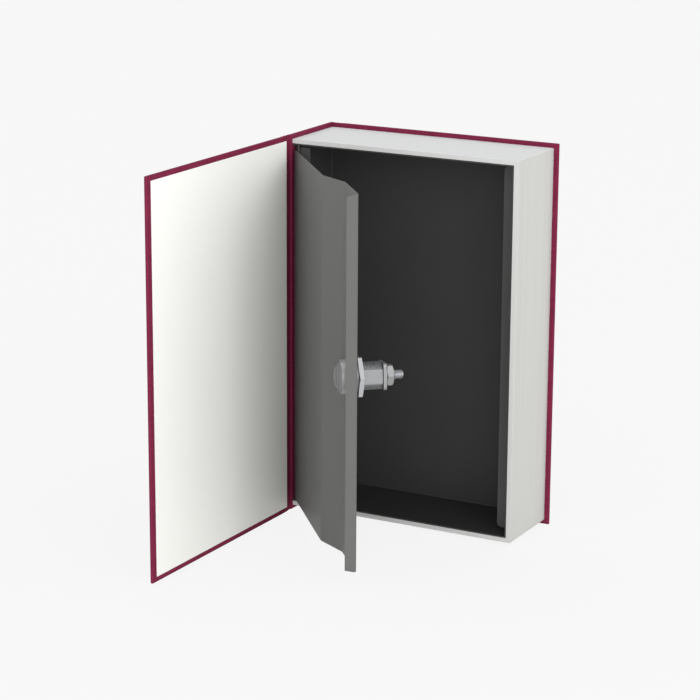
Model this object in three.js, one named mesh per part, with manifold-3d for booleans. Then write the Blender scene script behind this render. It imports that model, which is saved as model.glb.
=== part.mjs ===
// A strongbox disguised as a bound book, standing on its tail edge with the cover and the door ajar.
// Millimetres, +Z up. Each piece is drawn as it lies in the closed book, measured from the spine's
// outer face (x), the inner face of the closed front cover (y) and the tail of the covers (z).
// Two hinged groups then swing the front cover and the door to the angles at which they stand.

import * as THREE from "three";
import { mergeVertices } from "three/addons/utils/BufferGeometryUtils.js";
import Module from "manifold-3d";

const wasm = await Module();
wasm.setup();

// Driving dimensions of the bound case
const BOOK_HEIGHT = 240;
const COVER_WIDTH = 156.5;
const PAGES_DEPTH = 51;
const BOARD = 1.2;
const CLOTH = 0.3;
const GLUE = 0.1;
const TURN_IN = 3;
const JOINT_WIDTH = 7.6;
const GROOVE_DEPTH = 0.6;
const SPINE_LINING = 12;
const COVER_OPEN_DEGREES = 91;

// Driving dimensions of the page block and the steel box in it
const SQUARE = 2.7;
const PAGE_WALL = 2.7;
const PAD_THICKNESS = 1;
const PAD_MARGIN = 17;
const BOX_STEEL = 0.8;
const ANGLE_STEEL = 1;
const ANGLE_END_GAP = 2;
const ANGLE_CORNER = 3;
const STILE_WIDTH = 8.9;
const STILE_LEG = 9.6;
const LIP_WIDTH = 10.1;
const LIP_LEG = 12.5;

// Driving dimensions of the door and its pivots
const DOOR_STEEL = 1;
const DOOR_EDGE_GAP = 5;
const DOOR_TAIL_GAP = 0.3;
const DOOR_HEAD_GAP = 3.7;
const CHANNEL_WIDTH = 36.2;
const CHANNEL_DEPTH = 8.4;
const RAMP_RUN = 22.4;
const BEND_SETBACK = 3;
const FLANGE_HEIGHT = 7.4;
const DOOR_OPEN_DEGREES = 49.5;
const PIN_RADIUS = 1;
const PIN_INSET = 2.1;
const PIN_OVERHANG = 0.9;
const PIN_WELD = 22;
const PIN_SEAT = 1.4;
const BUSH_RADIUS = 2;
const BUSH_SEAT = 1.2;
const BUSH_STANDOUT = 0.2;
const SWING_GAP = 0.6;

// Driving dimensions of the cam lock
const LOCK_FROM_EDGE = 20.3;
const LOCK_HEIGHT = 119;
const HEAD_RADIUS = 10;
const HEAD_LENGTH = 7.6;
const HEAD_CHAMFER = 0.8;
const BARREL_RADIUS = 8.6;
const BARREL_FLAT = 7.3;
const BARREL_LENGTH = 19.4;
const BARREL_CHAMFER = 0.5;
const PLUG_RADIUS = 5.5;
const PLUG_FLANGE_RADIUS = 7;
const PLUG_FLANGE = 2;
const PLUG_RECESS = 0.2;
const PLUG_CLEARANCE = 0.2;
const KEYWAY_WIDTH = 2.2;
const KEYWAY_HEIGHT = 8;
const KEYWAY_DEPTH = 18;
const SPACER_RADIUS = 10.5;
const SPACER_LENGTH = 2.8;
const NUT_FLATS = 22.3;
const NUT_THICKNESS = 2.7;
const BOSS_SIDE = 7;
const STUD_RADIUS = 2.9;
const STUD_LENGTH = 10.4;
const CAM_STEEL = 1.8;
const CAM_WIDTH = 11;
const CAM_REACH = 22.5;
const CAM_TAIL = 6;
const CAM_RISER = 14.5;
const CAM_BEHIND_LIP = 0.8;
const WASHER_RADIUS = 6;
const WASHER_THICKNESS = 0.6;
const CAM_NUT_FLATS = 11.8;
const CAM_NUT_THICKNESS = 3.9;
const WAFER_COUNT = 5;
const WAFER_PITCH = 2.6;
const WAFER_THICKNESS = 1;
const WAFER_WIDTH = 4.95;
const WAFER_HEIGHT = 8.8;
const WAFER_CLEARANCE = 0.1;
const WAFER_WINDOW_WIDTH = 2.6;
const WAFER_WINDOW_HEIGHT = 5.2;
const SPRING_RADIUS = 0.5;
const SPRING_LENGTH = 6.4;

// Clearances, the overrun of every cut, and how finely round shapes are drawn
const FIT = 0.1;
const CLEAR = 0.3;
const OVERRUN = 1;
const ROUND_SIDES = 48;
const SMALL_SIDES = 24;
const CORNER_STEPS = 6;
const BEND_STEPS = 5;

// Places in the bound case
const coverThickness = BOARD + GLUE * 2 + CLOTH * 2;
const boardInset = CLOTH + GLUE;
const bookBack = PAGES_DEPTH + coverThickness;
const backStart = coverThickness + JOINT_WIDTH;

// Places in the page block: a wall at the head, the fore-edge and the tail
const blockSpine = coverThickness + FIT;
const blockFore = COVER_WIDTH - SQUARE;
const blockTail = SQUARE;
const blockHead = BOOK_HEIGHT - SQUARE;
const blockFront = CLEAR;
const blockRear = PAGES_DEPTH - FIT;
const openFore = blockFore - PAGE_WALL;
const openTail = blockTail + PAGE_WALL;
const openHead = blockHead - PAGE_WALL;

// Places in the steel box: outside, then inside
const boxSpine = coverThickness + FIT;
const boxFore = openFore - FIT;
const boxTail = openTail + FIT;
const boxHead = openHead - FIT;
const boxFront = blockFront + FIT;
const boxRear = blockRear - PAD_THICKNESS - FIT;
const inSpine = boxSpine + BOX_STEEL;
const inFore = boxFore - BOX_STEEL;
const inTail = boxTail + BOX_STEEL;
const inHead = boxHead - BOX_STEEL;
const inRear = boxRear - BOX_STEEL;

// Places in the door
const doorFront = boxFront + FIT;
const hingeX = inSpine + PIN_INSET;
const hingeY = doorFront + DOOR_STEEL + CLEAR + PIN_RADIUS;
const doorEdge = hingeX - PIN_OVERHANG;
const doorFree = inFore - DOOR_EDGE_GAP;
const doorTail = inTail + DOOR_TAIL_GAP;
const doorHead = inHead - DOOR_HEAD_GAP;
const channelFront = doorFront + CHANNEL_DEPTH;
const channelRear = channelFront + DOOR_STEEL;
const channelStart = doorFree - CHANNEL_WIDTH;
const stileFront = hingeY + PIN_RADIUS + SWING_GAP;
const lipFront = channelRear + CLEAR;
const lipRear = lipFront + ANGLE_STEEL;

// Places along the lock's axis
const lockX = doorFree - LOCK_FROM_EDGE;
const headRear = channelFront - FIT;
const headFront = headRear - HEAD_LENGTH;
const barrelEnd = headRear + BARREL_LENGTH;
const plugFront = headFront + PLUG_RECESS;
const spacerFront = channelRear + FIT;
const nutFront = spacerFront + SPACER_LENGTH + FIT * 2;
const boreRadius = PLUG_RADIUS + PLUG_CLEARANCE;
const camFront = barrelEnd + CLEAR;
const camRear = camFront + CAM_STEEL;
const bossEnd = camRear + FIT;
const washerFront = bossEnd + PLUG_CLEARANCE;
const camNutFront = washerFront + WASHER_THICKNESS + FIT;
const studEnd = bossEnd + STUD_LENGTH;
const studHole = STUD_RADIUS + PLUG_CLEARANCE;
const camTipFront = lipRear + CAM_BEHIND_LIP;

// A closed geometry as a solid: shared corners merged, empty triangles left out
function solid(geometry) {
  const bare = geometry.clone();
  bare.deleteAttribute("normal");
  bare.deleteAttribute("uv");
  const merged = mergeVertices(bare);
  const corners = merged.index.array;
  const kept = [];
  for (let i = 0; i < corners.length; i += 3) {
    const [a, b, c] = [corners[i], corners[i + 1], corners[i + 2]];
    if (a !== b && b !== c && c !== a) {
      kept.push(a, b, c);
    }
  }
  const vertProperties = merged.attributes.position.array;
  return new wasm.Manifold(new wasm.Mesh({ numProp: 3, vertProperties, triVerts: new Uint32Array(kept) }));
}

// A box from its lowest to its highest corner
function block(low, high) {
  const size = high.map((value, axis) => value - low[axis]);
  const middle = high.map((value, axis) => (value + low[axis]) / 2);
  return solid(new THREE.BoxGeometry(...size).translate(...middle));
}

// An outline in X and Y, drawn up along Z
function prism(outline, low, high) {
  const shape = new THREE.Shape(outline.map(([x, y]) => new THREE.Vector2(x, y)));
  const geometry = new THREE.ExtrudeGeometry(shape, { depth: high - low, bevelEnabled: false });
  return solid(geometry.translate(0, 0, low));
}

// An outline in X and Z, drawn back along Y
function slab(outline, front, back) {
  const shape = new THREE.Shape(outline.map(([x, z]) => new THREE.Vector2(x, z)));
  const geometry = new THREE.ExtrudeGeometry(shape, { depth: back - front, bevelEnabled: false });
  return solid(geometry.rotateX(Math.PI / 2).translate(0, back, 0));
}

// A turned piece round the lock's axis, from pairs of radius and place along Y
function turned(profile, sides) {
  return solid(new THREE.LatheGeometry(profile.map(([radius, y]) => new THREE.Vector2(radius, y)), sides));
}

// A plain disc round the lock's axis
function disc(radius, front, back, sides) {
  return turned([[0, front], [radius, front], [radius, back], [0, back]], sides);
}

// A ring round the lock's axis
function ring(bore, radius, front, back, sides) {
  return disc(radius, front, back, sides).subtract(disc(bore, front - OVERRUN, back + OVERRUN, sides));
}

// A hexagonal nut round the lock's axis, with two corners along X and its edges broken
function hexNut(flats, bore, front, back) {
  const corner = flats / Math.sqrt(3);
  const broken = (corner - flats / 2) / 2;
  const outline = [];
  for (let side = 0; side < 6; side += 1) {
    const angle = (side * Math.PI) / 3;
    outline.push([corner * Math.cos(angle), corner * Math.sin(angle)]);
  }
  const chamfered = turned([
    [0, front],
    [corner - broken, front],
    [corner, front + broken],
    [corner, back - broken],
    [corner - broken, back],
    [0, back],
  ], ROUND_SIDES);
  return slab(outline, front, back)
    .intersect(chamfered)
    .subtract(disc(bore, front - OVERRUN, back + OVERRUN, ROUND_SIDES));
}

// An upright rod of the door hinge
function rod(radius, low, high) {
  const geometry = new THREE.CylinderGeometry(radius, radius, high - low, SMALL_SIDES);
  return solid(geometry.rotateX(Math.PI / 2).translate(hingeX, hingeY, (low + high) / 2));
}

// Sheet metal of one thickness bent along a centreline in X and Y, as a closed outline
function ribbon(line, thickness) {
  const left = [];
  const right = [];
  line.forEach(([x, y], i) => {
    const into = direction(line[Math.max(i - 1, 0)], line[Math.max(i, 1)]);
    const out = direction(line[Math.min(i, line.length - 2)], line[Math.min(i + 1, line.length - 1)]);
    const reach = thickness / 2 / (1 + into[0] * out[0] + into[1] * out[1]);
    const offset = [-(into[1] + out[1]) * reach, (into[0] + out[0]) * reach];
    left.push([x + offset[0], y + offset[1]]);
    right.unshift([x - offset[0], y - offset[1]]);
  });
  return [...left, ...right];
}

// The unit direction from one point to another
function direction(from, to) {
  const across = to[0] - from[0];
  const along = to[1] - from[1];
  const length = Math.hypot(across, along);
  return [across / length, along / length];
}

// A quarter round corner of an outline, between two angles in quarter turns
function corner(x, z, radius, from, to) {
  const points = [];
  for (let step = 0; step <= CORNER_STEPS; step += 1) {
    const angle = ((from + ((to - from) * step) / CORNER_STEPS) * Math.PI) / 2;
    points.push([x + radius * Math.cos(angle), z + radius * Math.sin(angle)]);
  }
  return points;
}

// A named mesh with a finish of its own
function piece(parent, name, shape, finish) {
  const { vertProperties, triVerts } = shape.getMesh();
  const geometry = new THREE.BufferGeometry();
  geometry.setAttribute("position", new THREE.BufferAttribute(vertProperties, 3));
  geometry.setIndex(new THREE.BufferAttribute(triVerts, 1));
  geometry.computeVertexNormals();
  const mesh = new THREE.Mesh(geometry, new THREE.MeshStandardMaterial({ ...finish, flatShading: true }));
  mesh.name = name;
  parent.add(mesh);
  return mesh;
}

// A leaf that swings open about an upright line, in the coordinates of the closed book
function swung(parent, x, y, degrees) {
  const pivot = new THREE.Group();
  pivot.position.set(x, y, 0);
  pivot.rotation.z = -THREE.MathUtils.degToRad(degrees);
  const leaf = new THREE.Group();
  leaf.position.set(-x, -y, 0);
  pivot.add(leaf);
  parent.add(pivot);
  return leaf;
}

// Finishes, from the photographed object
const BOOK_CLOTH = { color: 0x7d2342, roughness: 0.75, metalness: 0 };
const GREY_BOARD = { color: 0x9a948a, roughness: 0.9, metalness: 0 };
const WHITE_PAPER = { color: 0xf4f4f0, roughness: 0.85, metalness: 0 };
const PAGE_EDGES = { color: 0xd9d9d8, roughness: 0.8, metalness: 0 };
const BLACK_FOAM = { color: 0x202020, roughness: 0.95, metalness: 0 };
const BOX_PAINT = { color: 0x2e2e2e, roughness: 0.55, metalness: 0 };
const ANGLE_PAINT = { color: 0x444443, roughness: 0.5, metalness: 0 };
const DOOR_PAINT = { color: 0x70706e, roughness: 0.45, metalness: 0 };
const BRIGHT_STEEL = { color: 0xb8babd, roughness: 0.3, metalness: 1 };
const NICKEL = { color: 0xc4c6ca, roughness: 0.25, metalness: 1 };
const BRASS = { color: 0xb89a56, roughness: 0.35, metalness: 1 };

// The board inside a cover, from the corners of the cloth round it
function board(low, high) {
  return block(low.map((value) => value + boardInset), high.map((value) => value - boardInset));
}

// The hollow that a board leaves in the cloth round it
function boardPocket(low, high) {
  return block(low.map((value) => value + CLOTH), high.map((value) => value - CLOTH));
}

const spineLow = [0, 0, 0];
const spineHigh = [coverThickness, PAGES_DEPTH, BOOK_HEIGHT];
const backLow = [backStart, PAGES_DEPTH, 0];
const backHigh = [COVER_WIDTH, bookBack, BOOK_HEIGHT];

// The cloth round the spine and the back cover, turned in on their inner faces
function caseCloth() {
  const spine = block([0, 0, 0], [coverThickness, bookBack, BOOK_HEIGHT]);
  const back = block([0, PAGES_DEPTH, 0], backHigh);
  const spineWindow = block(
    [coverThickness / 2, SPINE_LINING, TURN_IN],
    [coverThickness + OVERRUN, PAGES_DEPTH - CLOTH, BOOK_HEIGHT - TURN_IN],
  );
  const backWindow = block(
    [backStart + TURN_IN, PAGES_DEPTH - OVERRUN, TURN_IN],
    [COVER_WIDTH - TURN_IN, PAGES_DEPTH + coverThickness / 2, BOOK_HEIGHT - TURN_IN],
  );
  const groove = block(
    [coverThickness, bookBack - GROOVE_DEPTH, -OVERRUN],
    [backStart, bookBack + OVERRUN, BOOK_HEIGHT + OVERRUN],
  );
  return spine
    .add(back)
    .subtract(boardPocket(spineLow, spineHigh))
    .subtract(boardPocket(backLow, backHigh))
    .subtract(spineWindow)
    .subtract(backWindow)
    .subtract(groove);
}

// The paper pasted over the inside of the back board, between the cloth's turned edges
function backEndpaper() {
  const edge = TURN_IN + GLUE;
  return block(
    [backStart + edge, PAGES_DEPTH, edge],
    [COVER_WIDTH - edge, PAGES_DEPTH + CLOTH, BOOK_HEIGHT - edge],
  );
}

// The bare cloth of the front joint, as it lies with the cover open: its groove is outside
function hingeCloth() {
  return block(
    [GROOVE_DEPTH, CLEAR - coverThickness - JOINT_WIDTH, CLOTH],
    [coverThickness, -CLEAR, BOOK_HEIGHT - CLOTH],
  );
}

const frontLow = [JOINT_WIDTH, -coverThickness, 0];
const frontHigh = [COVER_WIDTH, 0, BOOK_HEIGHT];

// The cloth round the front cover, left open towards the joint
function frontCloth() {
  const pocket = block(
    [JOINT_WIDTH - OVERRUN, CLOTH - coverThickness, CLOTH],
    [COVER_WIDTH - CLOTH, -CLOTH, BOOK_HEIGHT - CLOTH],
  );
  const window = block(
    [JOINT_WIDTH - OVERRUN, -coverThickness / 2, TURN_IN],
    [COVER_WIDTH - TURN_IN, OVERRUN, BOOK_HEIGHT - TURN_IN],
  );
  return block(frontLow, frontHigh).subtract(pocket).subtract(window);
}

// The paper pasted over the inside of the front board
function frontEndpaper() {
  const edge = TURN_IN + GLUE;
  return block([JOINT_WIDTH + GLUE, -CLOTH, edge], [COVER_WIDTH - edge, 0, BOOK_HEIGHT - edge]);
}

// The false pages: a stiff shell along the head, the fore-edge and the tail
function pageBlock() {
  const hollow = block(
    [blockSpine - OVERRUN, blockFront - OVERRUN, openTail],
    [openFore, blockRear + OVERRUN, openHead],
  );
  const pocketDepth = PIN_SEAT + CLEAR;
  return block([blockSpine, blockFront, blockTail], [blockFore, blockRear, blockHead])
    .subtract(hollow)
    .subtract(rod(BUSH_RADIUS + FIT, openHead - OVERRUN, openHead + pocketDepth))
    .subtract(rod(BUSH_RADIUS + FIT, openTail - pocketDepth, openTail + OVERRUN));
}

// The steel tray, whose wall at the spine starts behind the swing of the door
function safeBox() {
  const hollow = block([inSpine, boxFront - OVERRUN, inTail], [inFore, inRear, inHead]);
  const relief = block(
    [boxSpine - OVERRUN, boxFront - OVERRUN, inTail],
    [inSpine + OVERRUN, stileFront, inHead],
  );
  return block([boxSpine, boxFront, boxTail], [boxFore, boxRear, boxHead])
    .subtract(hollow)
    .subtract(relief)
    .subtract(rod(BUSH_RADIUS + FIT, inHead - OVERRUN, boxHead + OVERRUN))
    .subtract(rod(BUSH_RADIUS + FIT, boxTail - OVERRUN, inTail + OVERRUN));
}

// The foam tape between the steel tray and the back cover
function mountingPad() {
  return block(
    [inSpine + PAD_MARGIN, boxRear + FIT, inTail + PAD_MARGIN],
    [inFore - PAD_MARGIN, blockRear, inHead - PAD_MARGIN],
  );
}

// A steel angle along one side of the mouth: a face with round free corners, and a leg on the wall
function sideAngle(wall, free, front, legDepth) {
  const low = inTail + ANGLE_END_GAP;
  const high = inHead - ANGLE_END_GAP;
  const side = Math.sign(free - wall);
  const centre = free - side * ANGLE_CORNER;
  const outline = [
    [wall, low],
    ...corner(centre, low + ANGLE_CORNER, ANGLE_CORNER, -1, side - 1),
    ...corner(centre, high - ANGLE_CORNER, ANGLE_CORNER, 1 - side, 1),
    [wall, high],
  ];
  const legSides = [wall, wall + side * ANGLE_STEEL].sort((a, b) => a - b);
  const leg = block([legSides[0], front, low], [legSides[1], front + legDepth, high]);
  return slab(outline, front, front + ANGLE_STEEL).add(leg);
}

// A soft bend in a centreline, set back from its corner along both sides
function bend(before, turn, after) {
  const into = direction(turn, before);
  const out = direction(turn, after);
  const points = [into, [0, 0], out].map(([x, y]) => {
    return new THREE.Vector2(turn[0] + x * BEND_SETBACK, turn[1] + y * BEND_SETBACK);
  });
  return new THREE.QuadraticBezierCurve(...points).getPoints(BEND_STEPS).map((point) => [point.x, point.y]);
}

// The door's cross-section: flat panel, ramp back to the lock's channel, and the flange of its free edge
function doorSection() {
  const half = DOOR_STEEL / 2;
  const edge = [doorEdge, doorFront + half];
  const rampStart = [channelStart - RAMP_RUN, doorFront + half];
  const rampEnd = [channelStart, channelFront + half];
  const free = [doorFree - half, channelFront + half];
  const flange = [doorFree - half, channelRear - FLANGE_HEIGHT];
  const line = [edge, ...bend(edge, rampStart, rampEnd), ...bend(rampStart, rampEnd, free), free, flange];
  return ribbon(line, DOOR_STEEL);
}

// The round hole with two flats that keeps the lock from turning in the door
function doubleD(radius, flat, front, back) {
  const flats = block([-flat, front, -radius], [flat, back, radius]);
  return disc(radius, front, back, ROUND_SIDES).intersect(flats);
}

// The pressed door leaf, with the lock's hole in its channel
function doorPanel() {
  const hole = doubleD(BARREL_RADIUS + FIT, BARREL_FLAT + FIT, channelFront - OVERRUN, channelRear + OVERRUN);
  return prism(doorSection(), doorTail, doorHead).subtract(hole.translate([lockX, 0, LOCK_HEIGHT]));
}

// The die-cast body of the lock: a chamfered head in front of the door, a barrel with flats behind it
function lockHousing() {
  const head = turned([
    [0, headFront],
    [HEAD_RADIUS - HEAD_CHAMFER, headFront],
    [HEAD_RADIUS, headFront + HEAD_CHAMFER],
    [HEAD_RADIUS, headRear],
    [0, headRear],
  ], ROUND_SIDES);
  const barrel = turned([
    [0, headFront + HEAD_CHAMFER],
    [BARREL_RADIUS, headFront + HEAD_CHAMFER],
    [BARREL_RADIUS, barrelEnd - BARREL_CHAMFER],
    [BARREL_RADIUS - BARREL_CHAMFER, barrelEnd],
    [0, barrelEnd],
  ], ROUND_SIDES);
  const flats = block(
    [-BARREL_FLAT, headFront, -BARREL_RADIUS],
    [BARREL_FLAT, barrelEnd + OVERRUN, BARREL_RADIUS],
  );
  const flangeSeat = plugFront + PLUG_FLANGE + PLUG_CLEARANCE;
  return head
    .add(barrel.intersect(flats))
    .subtract(disc(boreRadius, headFront - OVERRUN, barrelEnd + OVERRUN, ROUND_SIDES))
    .subtract(disc(PLUG_FLANGE_RADIUS + PLUG_CLEARANCE, headFront - OVERRUN, flangeSeat, ROUND_SIDES));
}

const slotWidth = WAFER_WIDTH + SPRING_RADIUS * 2 + WAFER_CLEARANCE * 4;
const waferFirst = plugFront + PLUG_FLANGE + WAFER_THICKNESS;

// The middle of each wafer along the lock's axis
function waferPlace(index) {
  return waferFirst + WAFER_PITCH * (index + 1 / 2);
}

// The turning plug, with its keyway, its wafer slots, the square for the cam and the stud behind it
function lockPlug() {
  let shape = turned([
    [0, plugFront],
    [PLUG_FLANGE_RADIUS, plugFront],
    [PLUG_FLANGE_RADIUS, plugFront + PLUG_FLANGE],
    [PLUG_RADIUS, plugFront + PLUG_FLANGE],
    [PLUG_RADIUS, barrelEnd],
    [0, barrelEnd],
  ], ROUND_SIDES);
  const boss = BOSS_SIDE / 2;
  shape = shape.add(block([-boss, barrelEnd - OVERRUN, -boss], [boss, bossEnd, boss]));
  shape = shape.add(disc(STUD_RADIUS, bossEnd - OVERRUN, studEnd, SMALL_SIDES));
  shape = shape.subtract(block(
    [-KEYWAY_WIDTH / 2, plugFront - OVERRUN, -KEYWAY_HEIGHT / 2],
    [KEYWAY_WIDTH / 2, plugFront + KEYWAY_DEPTH, KEYWAY_HEIGHT / 2],
  ));
  const slotHalf = WAFER_THICKNESS / 2 + WAFER_CLEARANCE;
  for (let index = 0; index < WAFER_COUNT; index += 1) {
    const place = waferPlace(index);
    shape = shape.subtract(block(
      [-slotWidth / 2, place - slotHalf, -PLUG_FLANGE_RADIUS],
      [slotWidth / 2, place + slotHalf, PLUG_FLANGE_RADIUS],
    ));
  }
  return shape;
}

// One brass wafer, with the window that the key passes
function wafer() {
  const low = WAFER_CLEARANCE - slotWidth / 2;
  const half = WAFER_THICKNESS / 2;
  const window = block(
    [-WAFER_WINDOW_WIDTH / 2, -half - OVERRUN, -WAFER_WINDOW_HEIGHT / 2],
    [WAFER_WINDOW_WIDTH / 2, half + OVERRUN, WAFER_WINDOW_HEIGHT / 2],
  );
  return block(
    [low, -half, -WAFER_HEIGHT / 2],
    [low + WAFER_WIDTH, half, WAFER_HEIGHT / 2],
  ).subtract(window);
}

// The small coil spring beside a wafer, as a rod of its outer size
function waferSpring() {
  const place = slotWidth / 2 - WAFER_CLEARANCE - SPRING_RADIUS;
  const geometry = new THREE.CylinderGeometry(SPRING_RADIUS, SPRING_RADIUS, SPRING_LENGTH, SMALL_SIDES);
  return solid(geometry.rotateX(Math.PI / 2).translate(place, 0, 0));
}

// The ring that fills the lock body's spare length between the door and its nut
function lockSpacer() {
  return ring(BARREL_RADIUS + CLEAR, SPACER_RADIUS, spacerFront, spacerFront + SPACER_LENGTH, ROUND_SIDES);
}

// The cranked cam: its root on the plug's square, its tip forward, just behind the strike lip
function lockCam() {
  const half = CAM_STEEL / 2;
  const line = [
    [CAM_TAIL, camFront + half],
    [-CAM_RISER, camFront + half],
    [-CAM_RISER, camTipFront + half],
    [-CAM_REACH, camTipFront + half],
  ];
  const hole = BOSS_SIDE / 2 + FIT;
  return prism(ribbon(line, CAM_STEEL), -CAM_WIDTH / 2, CAM_WIDTH / 2)
    .subtract(block([-hole, camFront - OVERRUN, -hole], [hole, camRear + OVERRUN, hole]));
}

// The bound case, the page block and the steel box, which stay where they are
function addCase(book) {
  piece(book, "back_board", board(backLow, backHigh), GREY_BOARD);
  piece(book, "spine_board", board(spineLow, spineHigh), GREY_BOARD);
  piece(book, "case_cloth", caseCloth(), BOOK_CLOTH);
  piece(book, "back_endpaper", backEndpaper(), WHITE_PAPER);
  piece(book, "hinge_cloth", hingeCloth(), BOOK_CLOTH);
  piece(book, "page_block", pageBlock(), PAGE_EDGES);
  piece(book, "mounting_pad", mountingPad(), BLACK_FOAM);
  piece(book, "safe_box", safeBox(), BOX_PAINT);
  const stileWall = inSpine + FIT;
  const lipWall = inFore - FIT;
  const stile = sideAngle(stileWall, stileWall + STILE_WIDTH, stileFront, STILE_LEG);
  const lip = sideAngle(lipWall, lipWall - LIP_WIDTH, lipFront, LIP_LEG);
  piece(book, "hinge_stile", stile, ANGLE_PAINT);
  piece(book, "strike_lip", lip, ANGLE_PAINT);
  const bore = rod(PIN_RADIUS + FIT, 0, BOOK_HEIGHT);
  const upper = rod(BUSH_RADIUS, inHead - BUSH_STANDOUT, openHead + BUSH_SEAT);
  const lower = rod(BUSH_RADIUS, openTail - BUSH_SEAT, inTail + BUSH_STANDOUT);
  piece(book, "upper_bush", upper.subtract(bore), BRIGHT_STEEL);
  piece(book, "lower_bush", lower.subtract(bore), BRIGHT_STEEL);
}

// The front cover, which swings about the outer edge of the spine
function addCover(book) {
  const cover = swung(book, 0, -coverThickness, COVER_OPEN_DEGREES);
  const boardHigh = frontHigh.map((value) => value - boardInset);
  const boardLow = frontLow.map((value) => value + boardInset);
  boardLow[0] = JOINT_WIDTH + GLUE;
  piece(cover, "front_board", block(boardLow, boardHigh), GREY_BOARD);
  piece(cover, "front_cloth", frontCloth(), BOOK_CLOTH);
  piece(cover, "front_endpaper", frontEndpaper(), WHITE_PAPER);
}

// The door and its pins, which swing in the bushes, with the lock in the door
function addDoor(book) {
  const door = swung(book, hingeX, hingeY, DOOR_OPEN_DEGREES);
  piece(door, "door_panel", doorPanel(), DOOR_PAINT);
  piece(door, "upper_pivot_pin", rod(PIN_RADIUS, doorHead - PIN_WELD, openHead + PIN_SEAT), BRIGHT_STEEL);
  piece(door, "lower_pivot_pin", rod(PIN_RADIUS, openTail - PIN_SEAT, doorTail + PIN_WELD), BRIGHT_STEEL);
  const lock = new THREE.Group();
  lock.position.set(lockX, 0, LOCK_HEIGHT);
  door.add(lock);
  piece(lock, "lock_housing", lockHousing(), NICKEL);
  piece(lock, "lock_spacer", lockSpacer(), NICKEL);
  piece(lock, "lock_nut", hexNut(NUT_FLATS, BARREL_RADIUS + FIT, nutFront, nutFront + NUT_THICKNESS), NICKEL);
  addLockCore(lock);
}

// What turns with the key
function addLockCore(lock) {
  piece(lock, "lock_plug", lockPlug(), NICKEL);
  for (let index = 0; index < WAFER_COUNT; index += 1) {
    const place = waferPlace(index);
    piece(lock, `wafer_${index + 1}`, wafer(), BRASS).position.y = place;
    piece(lock, `wafer_spring_${index + 1}`, waferSpring(), BRIGHT_STEEL).position.y = place;
  }
  piece(lock, "cam", lockCam(), NICKEL);
  const washerRear = washerFront + WASHER_THICKNESS;
  piece(lock, "cam_washer", ring(studHole, WASHER_RADIUS, washerFront, washerRear, ROUND_SIDES), NICKEL);
  const camNutRear = camNutFront + CAM_NUT_THICKNESS;
  piece(lock, "cam_nut", hexNut(CAM_NUT_FLATS, studHole, camNutFront, camNutRear), NICKEL);
}

// The whole book, with its origin under the middle of the back cover
const group = new THREE.Group();
group.position.set(-COVER_WIDTH / 2, -PAGES_DEPTH - coverThickness / 2, 0);
addCase(group);
addCover(group);
addDoor(group);

export default group;
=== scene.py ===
# %% [markdown]
# A book that hides a steel box
#
# The object is a false book: a crimson case like that of any bound book, false pages,
# and behind the front cover a steel tray with a lockable door. Its solids come from a
# CAD model at their real size. Blender adds what light needs to look real: rounded
# edges, folded sheet metal, threads, cloth and paint. The first cell loads the solids
# and remembers the box that they fill, because nothing made here may grow beyond it.

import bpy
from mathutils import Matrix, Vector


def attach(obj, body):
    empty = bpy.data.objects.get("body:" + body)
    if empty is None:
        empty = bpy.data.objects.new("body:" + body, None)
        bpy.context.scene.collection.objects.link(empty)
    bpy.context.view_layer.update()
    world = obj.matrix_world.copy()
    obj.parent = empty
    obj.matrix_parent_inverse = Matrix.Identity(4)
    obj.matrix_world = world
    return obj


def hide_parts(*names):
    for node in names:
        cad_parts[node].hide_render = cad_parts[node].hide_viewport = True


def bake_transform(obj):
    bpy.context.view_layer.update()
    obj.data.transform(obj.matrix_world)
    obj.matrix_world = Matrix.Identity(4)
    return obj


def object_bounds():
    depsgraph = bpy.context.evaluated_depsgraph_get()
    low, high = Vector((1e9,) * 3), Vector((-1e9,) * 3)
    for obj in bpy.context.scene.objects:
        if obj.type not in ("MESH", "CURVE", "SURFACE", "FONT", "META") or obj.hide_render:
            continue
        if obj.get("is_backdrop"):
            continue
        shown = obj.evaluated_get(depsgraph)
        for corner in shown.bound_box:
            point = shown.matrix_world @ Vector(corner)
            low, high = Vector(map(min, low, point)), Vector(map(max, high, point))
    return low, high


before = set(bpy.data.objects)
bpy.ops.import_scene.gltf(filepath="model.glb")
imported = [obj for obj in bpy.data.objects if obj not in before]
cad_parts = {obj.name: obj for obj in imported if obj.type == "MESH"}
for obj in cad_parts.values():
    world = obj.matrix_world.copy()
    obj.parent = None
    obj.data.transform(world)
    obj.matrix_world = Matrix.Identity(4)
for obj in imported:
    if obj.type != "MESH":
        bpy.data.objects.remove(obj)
cad_low, cad_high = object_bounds()

# %% [markdown]
# Blender brings modules of its own: bpy for the scene, bmesh for meshes that are built
# point by point, and mathutils for vectors and matrices. Its unit is the metre, while
# a book is measured in millimetres, so one constant leads from the one to the other.

# %% Libraries and units
import math

import bmesh
import bpy
from mathutils import Matrix, Vector

scene = bpy.context.scene
MILLIMETRE = 0.001
FULL_TURN = 2 * math.pi
print("one millimetre is", MILLIMETRE, "of Blender's units")

# %% [markdown]
# A book is easiest to describe closed and from its own corner: x runs from the spine
# to the fore-edge, y from the inside of the front cover to the back cover, and z up
# from the tail, in millimetres. One matrix brings a piece from there to the frame of
# the solids. The cover and the door are modelled closed and then swung open about
# their hinges, as a bookbinder would see them.

# %% From the book's own measure to the frame
HEIGHT, WIDTH, DEPTH, BOARD = 240, 156.5, 51, 2
DOOR_HINGE = (5, 2.8)
COVER_OPEN, DOOR_OPEN = 91, 49.5
BOOK_CORNER = Vector((-WIDTH / 2, -DEPTH - BOARD / 2, 0))
STILL = Matrix.Scale(MILLIMETRE, 4) @ Matrix.Translation(BOOK_CORNER)


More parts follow.
